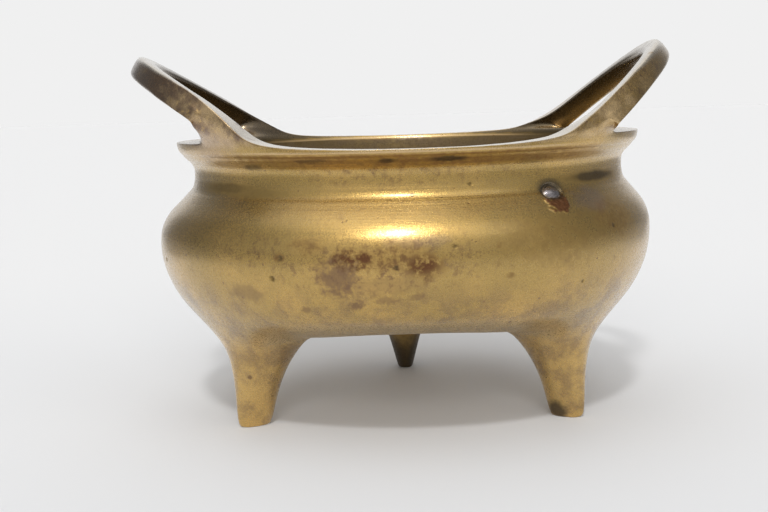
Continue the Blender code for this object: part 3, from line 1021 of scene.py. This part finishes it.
broad = cloud(tree, place, scale=0.045, detail=3.0)
patchy = cloud(tree, place, scale=0.16, detail=6.0, rough=0.65)
mottle = cloud(tree, place, scale=0.55, detail=6.0, rough=0.7)
grain = cloud(tree, place, scale=2.4, detail=2.0, rough=0.6)
streaks = cloud(tree, place, scale=1.0, detail=5.0, rough=0.6, stretch=(0.035, 0.035, 1.5))
thin_lines = cloud(tree, place, scale=1.0, detail=3.0, rough=0.7, stretch=(0.05, 0.05, 5.0))
on_neck = between(height, *NECK_BAND)
on_handle = ramp(tree, height, *HANDLE_START)
under_lip = both(between(height, *LIP_BAND), ramp(tree, sideways, *LIP_FRONT))
low_belly = ramp(tree, height, *LOW_BELLY)
legs = ramp(tree, height, *LEGS)
rust = both(stains(RUST_PATCHES), ramp(tree, mottle, 0.30, 0.56))
plum = stains(PLUM_PATCHES)
dark = stains(DARK_PATCHES)
lilac = stains(LILAC_PATCHES)
speckled = stains(SPECKLED_PATCHES)
freckles = pores(spacing=6.5, radius=0.45, share=0.35)
specks = pores(spacing=2.4, radius=0.20, share=0.40)
print("masks ready:", len(tree.nodes), "nodes")

# %% Worn and dirty places, and a painted highlight and reflection, of the old brass
BAR_BAND = (66.0, 76.0, 2.0)
RIM_HIGHLIGHT_BAND = (64.75, 65.05, 0.15)
RIM_HIGHLIGHT_FRONT = (42.0, 26.0)
LAND_REFLECTION_FRONT = (12.0, -2.0)
RIGHT_HALF = (0.0, 20.0)
# The right handle is more rubbed than the left
RIGHT_RUBBED = 0.60

inside = ramp(tree, vertex_mask("inside"), 0.30, 0.90)
under = vertex_mask("under")
pit = vertex_mask("pit")
blob = vertex_mask("blob")
plug = vertex_mask("plug")
lip_patina = both(under_lip, ramp(tree, calc(tree, "ADD", streaks, mottle), 0.70, 1.15))
left_by_rubbing = calc(tree, "SUBTRACT", 1.0, both(ramp(tree, across, *RIGHT_HALF), RIGHT_RUBBED))
handle_patina = both(both(on_handle, ramp(tree, patchy, 0.20, 0.46)), left_by_rubbing)
# Painted reflection of the pale room on the front of the top land
land_reflection = both(vertex_mask("land"), ramp(tree, depth, *LAND_REFLECTION_FRONT))
bar_flecks = both(between(height, *BAR_BAND), ramp(tree, mottle, 0.53, 0.66))
edge_wear = both(ramp(tree, vertex_mask("wear"), 0.25, 0.65), ramp(tree, patchy, 0.60, 0.35))
# Painted highlight: a brighter line along the rim's front edge, at the front only
rim_highlight = both(between(height, *RIM_HIGHLIGHT_BAND), ramp(tree, sideways, *RIM_HIGHLIGHT_FRONT))
print("worn places ready:", len(tree.nodes), "nodes")

# %% [markdown]
# A real surface got its colours one after another: the bare casting first, then its olive tone, then
# the brown patina, then the wear of hands, and dirt in the pits last. The same order works here. Each
# row below lays one colour over all the ones before it, where its mask says and as strongly as the
# number says.

# %% Colour of the old brass
def layered(colour, layers):
    """Lays colours over a first one: each layer has its mask, its colour and its strength."""
    for mask, over, strength in layers:
        colour = blend(tree, both(mask, strength), colour, over)
    return colour


colour = layered(GOLD, (
    (ramp(tree, broad, 0.38, 0.62), OLIVE, 1.0),
    (ramp(tree, streaks, 0.42, 0.75), OLIVE, 0.60),
    (ramp(tree, mottle, 0.50, 0.76), BROWN, 0.34),
    (ramp(tree, grain, 0.52, 0.80), BROWN, 0.18),
    (both(speckled, ramp(tree, mottle, 0.46, 0.62)), BROWN, 0.68),
    (legs, STRAW, 0.50),
    (both(low_belly, ramp(tree, patchy, 0.42, 0.62)), PLUM, 0.45),
    (lip_patina, BROWN, 0.80),
    (handle_patina, PLUM, 0.92),
    (both(on_handle, ramp(tree, mottle, 0.50, 0.36)), BROWN, 0.60),
    (bar_flecks, GOLD, 0.70),
    (edge_wear, RUBBED_AND_HIGHLIGHT, 0.80),
    (inside, UMBER, 0.82),
    (vertex_mask("inward"), UMBER, 0.80),
    # Painted reflection of the pale room on the front of the top land
    (both(land_reflection, ramp(tree, patchy, 0.70, 0.54)), PALE_REFLECTION, 0.80),
    (under, DUST, 0.70),
    # Painted highlight along the rim's front edge
    (rim_highlight, RUBBED_AND_HIGHLIGHT, 0.80),
    (lilac, LILAC, 1.0),
    (plum, PLUM, 1.0),
    (rust, RUST, 1.0),
    # Dark patches: patina under the lip, and painted shade on the back foot and in the neck's crease
    (dark, SOOT_AND_SHADE, 1.0),
    (freckles, RUST, 0.65),
    (specks, BROWN, 0.65),
    (pit, SOOT_AND_SHADE, 0.72),
    (blob, RUST, 1.0),
    (vertex_mask("ring_dirt"), SOOT_AND_SHADE, 0.85),
    (plug, TIN, 1.0),
))
tree.links.new(colour, shader.inputs["Base Color"])
print("colour ready:", len(tree.nodes), "nodes")

# %% [markdown]
# Patina is rougher than bare metal and partly not metal at all, so it gets its own roughness and a
# lower metallic value. Clean brass that is handled carries a thin shiny skin of wax, which is the
# shader's coat. Only the finest relief is a bump: the grain, the pores and the turned lines.

# %% Roughness, metal and wax of the old brass
PLAIN_ROUGHNESS = 0.20
GRIME_AND_SHADE_NOT_METAL = 0.40
UNDER_NOT_METAL = 0.55
COAT_WEIGHT = 0.95
COAT_ROUGHNESS = 0.25
COAT_IOR = 1.6

# The dark patches carry painted shade too, and get the same roughness, metal and wax as the grime
grime_and_shade = either(either(rust, plum), either(dark, lip_patina))
grime_and_shade = either(grime_and_shade, either(blob, pit))
roughness = PLAIN_ROUGHNESS
for mask, added in ((ramp(tree, grain, 0.40, 0.66), 0.20), (mottle, 0.10), (grime_and_shade, 0.18), (inside, 0.25)):
    roughness = calc(tree, "ADD", roughness, both(mask, added))
tree.links.new(roughness, shader.inputs["Roughness"])
metal = calc(tree, "SUBTRACT", 1.0, both(grime_and_shade, GRIME_AND_SHADE_NOT_METAL))
metal = calc(tree, "SUBTRACT", metal, both(under, UNDER_NOT_METAL))
tree.links.new(metal, shader.inputs["Metallic"])
dull = either(grime_and_shade, either(inside, under))
waxed = calc(tree, "SUBTRACT", COAT_WEIGHT, both(dull, COAT_WEIGHT))
tree.links.new(waxed, shader.inputs["Coat Weight"])
shader.inputs["Coat IOR"].default_value = COAT_IOR
shader.inputs["Coat Roughness"].default_value = COAT_ROUGHNESS
print("roughness and wax ready:", len(tree.nodes), "nodes")

# %% Bump of the old brass
BUMP_DISTANCE = 0.0004
BUMP_STRENGTH = 0.35
GRAIN_BUMP = 0.14
MOTTLE_BUMP = 0.30
LINE_BUMP = 0.30
FRECKLE_DEPTH = 0.4
SPECK_DEPTH = 0.3

bumps = calc(tree, "ADD", both(grain, GRAIN_BUMP), both(both(thin_lines, on_neck), LINE_BUMP))
bumps = calc(tree, "ADD", bumps, both(mottle, MOTTLE_BUMP))
holes = calc(tree, "ADD", both(freckles, FRECKLE_DEPTH), both(specks, SPECK_DEPTH))
bump = add_node(
    tree, "ShaderNodeBump",
    {"Height": calc(tree, "SUBTRACT", bumps, holes), "Strength": BUMP_STRENGTH, "Distance": BUMP_DISTANCE})
tree.links.new(bump.outputs["Normal"], shader.inputs["Normal"])
censer.data.materials.clear()
censer.data.materials.append(brass)
print("old brass:", len(tree.nodes), "nodes")

# %% [markdown]
# The room matters as much as the metal, because polished metal shows it. The pale table fills the
# lower half of what the belly mirrors. Above it the room is pale behind, dimmer in front and darkest
# at both sides. It could be built from big panels, but a world that paints it by direction is
# shorter and is easy to tune. One row of levels goes around the horizon and turns into the level
# overhead, which is dimmer to the right.

# %% The room
def direction(azimuth_deg, elevation_deg):
    """A direction by its azimuth, from the camera's side towards +X, and its elevation."""
    azimuth = math.radians(azimuth_deg)
    elevation = math.radians(elevation_deg)
    return Vector((
        math.sin(azimuth) * math.cos(elevation), -math.cos(azimuth) * math.cos(elevation),
        math.sin(elevation)))


def grey(level):
    return (level, level, level, 1.0)


BACKDROP_LEVEL = 0.872
OVERHEAD_LEVEL = 1.25
OVERHEAD_RIGHT = 0.50
# How far to the right a direction points, where the dimmer part starts and where it is full
RIGHT_FROM = 0.08
RIGHT_TO = 0.34
OVERHEAD_FROM = 40.0
OVERHEAD_TO = 80.0
# Azimuth in degrees and the room's level there
ROOM_ROUND = (
    (-180.0, BACKDROP_LEVEL), (-157.0, BACKDROP_LEVEL), (-147.0, 0.20), (-115.0, 0.16),
    (-76.0, 0.38), (-50.0, 0.64), (0.0, 0.64), (48.0, 0.62), (70.0, 0.34), (100.0, 0.21),
    (128.0, 0.21), (145.0, 0.28), (155.0, BACKDROP_LEVEL), (180.0, BACKDROP_LEVEL),
)

world = bpy.data.worlds.new("studio")
bpy.context.scene.world = world
world.use_nodes = True
room = world.node_tree
gaze = add_node(
    room, "ShaderNodeSeparateXYZ", {0: add_node(room, "ShaderNodeTexCoord").outputs["Generated"]})
turned = calc(room, "ARCTAN2", gaze.outputs["X"], calc(room, "MULTIPLY", gaze.outputs["Y"], -1.0))
round_share = calc(room, "ADD", calc(room, "DIVIDE", turned, math.tau), 0.5)
around = add_node(room, "ShaderNodeValToRGB", {0: round_share})
for number, (azimuth, level) in enumerate(ROOM_ROUND):
    stops = around.color_ramp.elements
    position = azimuth / 360.0 + 0.5
    stop = stops[number] if number < 2 else stops.new(position)
    stop.position = position
    stop.color = grey(level)
up_share = ramp(
    room, gaze.outputs["Z"], math.sin(math.radians(OVERHEAD_FROM)), math.sin(math.radians(OVERHEAD_TO)))
right_share = ramp(room, gaze.outputs["X"], RIGHT_FROM, RIGHT_TO)
overhead = blend(room, right_share, grey(OVERHEAD_LEVEL), grey(OVERHEAD_RIGHT))
background = room.nodes["Background"]
room.links.new(blend(room, up_share, around.outputs["Color"], overhead), background.inputs["Color"])
background.inputs["Strength"].default_value = 1.0
print("room with", len(ROOM_ROUND), "levels")

# %% [markdown]
# Three far lights add what a few levels can't. The window, high in front, gives the bright spot on
# the shoulder and the soft shadow. The fill comes in low from the front and lifts the table and the
# dull patina; polished brass would mirror it as a big disc, so it is hidden from reflections. The glow
# is faint and wide, and draws the spot's right end out along the shoulder.

# %% Lights
# Azimuth and elevation in degrees, strength, and spread in degrees
WINDOW = (-6.0, 48.5, 0.98, 5.5)
FILL = (0.0, 14.0, 2.30, 40.0)
GLOW = (42.0, 46.0, 0.13, 32.0)


def far_light(name, azimuth, elevation, strength, spread):
    """A light from far away, as wide in the sky as its spread."""
    light = bpy.data.objects.new(name, bpy.data.lights.new(name, "SUN"))
    bpy.context.scene.collection.objects.link(light)
    light.data.energy = strength
    light.data.angle = math.radians(spread)
    towards = direction(azimuth, elevation)
    light.location = towards
    light.rotation_mode = "QUATERNION"
    light.rotation_quaternion = towards.to_track_quat("Z", "Y")
    return light


far_light("window", *WINDOW)
far_light("fill", *FILL).visible_glossy = False
far_light("glow", *GLOW)
print("window light from elevation", WINDOW[1])

# %% [markdown]
# The table is one plain pale disc. It grows a little lighter with depth, so that it meets the room
# without a line at the horizon. In front and at both sides, out of the picture, it falls off into
# the dim room a forearm away, and that edge is what the belly shows as a line across its middle.

# %% Table
TABLE_RADIUS = 6.0
TABLE_NEAR = (0.735, 0.742, 0.755, 1.0)
TABLE_FAR = (0.792, 0.792, 0.794, 1.0)
TABLE_DIM = grey(0.28)
TABLE_SIDES = 96
TABLE_ROUGHNESS = 0.75
TABLE_SHINE = 0.2
DEPTH_FROM = -0.12
DEPTH_TO = 0.30
DIM_FROM = 0.27
DIM_TO = 0.36
# The pale part widens backwards from this half width by this slope
CLEAR_HALF_WIDTH = 0.10
CLEAR_SLOPE = 0.42
CLEAR_SOFT = 0.06

table_mesh = bmesh.new()
bmesh.ops.create_circle(table_mesh, cap_ends=True, segments=TABLE_SIDES, radius=TABLE_RADIUS)
table = bpy.data.objects.new("table", bpy.data.meshes.new("table"))
table_mesh.to_mesh(table.data)
table_mesh.free()
bpy.context.scene.collection.objects.link(table)
pale = bpy.data.materials.new("pale_table")
pale.use_nodes = True
cloth = pale.node_tree
spot = add_node(cloth, "ShaderNodeTexCoord").outputs["Object"]
spot_parts = add_node(cloth, "ShaderNodeSeparateXYZ", {0: spot}).outputs
away = add_node(cloth, "ShaderNodeVectorMath", {0: spot}, operation="LENGTH").outputs["Value"]
tint = blend(cloth, ramp(cloth, spot_parts["Y"], DEPTH_FROM, DEPTH_TO), TABLE_NEAR, TABLE_FAR)
clear = calc(cloth, "ADD", calc(cloth, "MULTIPLY", spot_parts["Y"], CLEAR_SLOPE), CLEAR_HALF_WIDTH)
beside = calc(cloth, "SUBTRACT", calc(cloth, "ABSOLUTE", spot_parts["X"]), clear)
dim = calc(cloth, "MULTIPLY", ramp(cloth, beside, 0.0, CLEAR_SOFT), ramp(cloth, away, DIM_FROM, DIM_TO))
pale_shader = cloth.nodes["Principled BSDF"]
cloth.links.new(blend(cloth, dim, tint, TABLE_DIM), pale_shader.inputs["Base Color"])
pale_shader.inputs["Roughness"].default_value = TABLE_ROUGHNESS
pale_shader.inputs["Specular IOR Level"].default_value = TABLE_SHINE
table.data.materials.append(pale)
print("table:", 2 * TABLE_RADIUS, "m across")

# %% [markdown]
# The picture is shown with the Standard view, which leaves a pale table pale and brass golden.

# %% Finish
bpy.context.scene.view_settings.view_transform = "Standard"
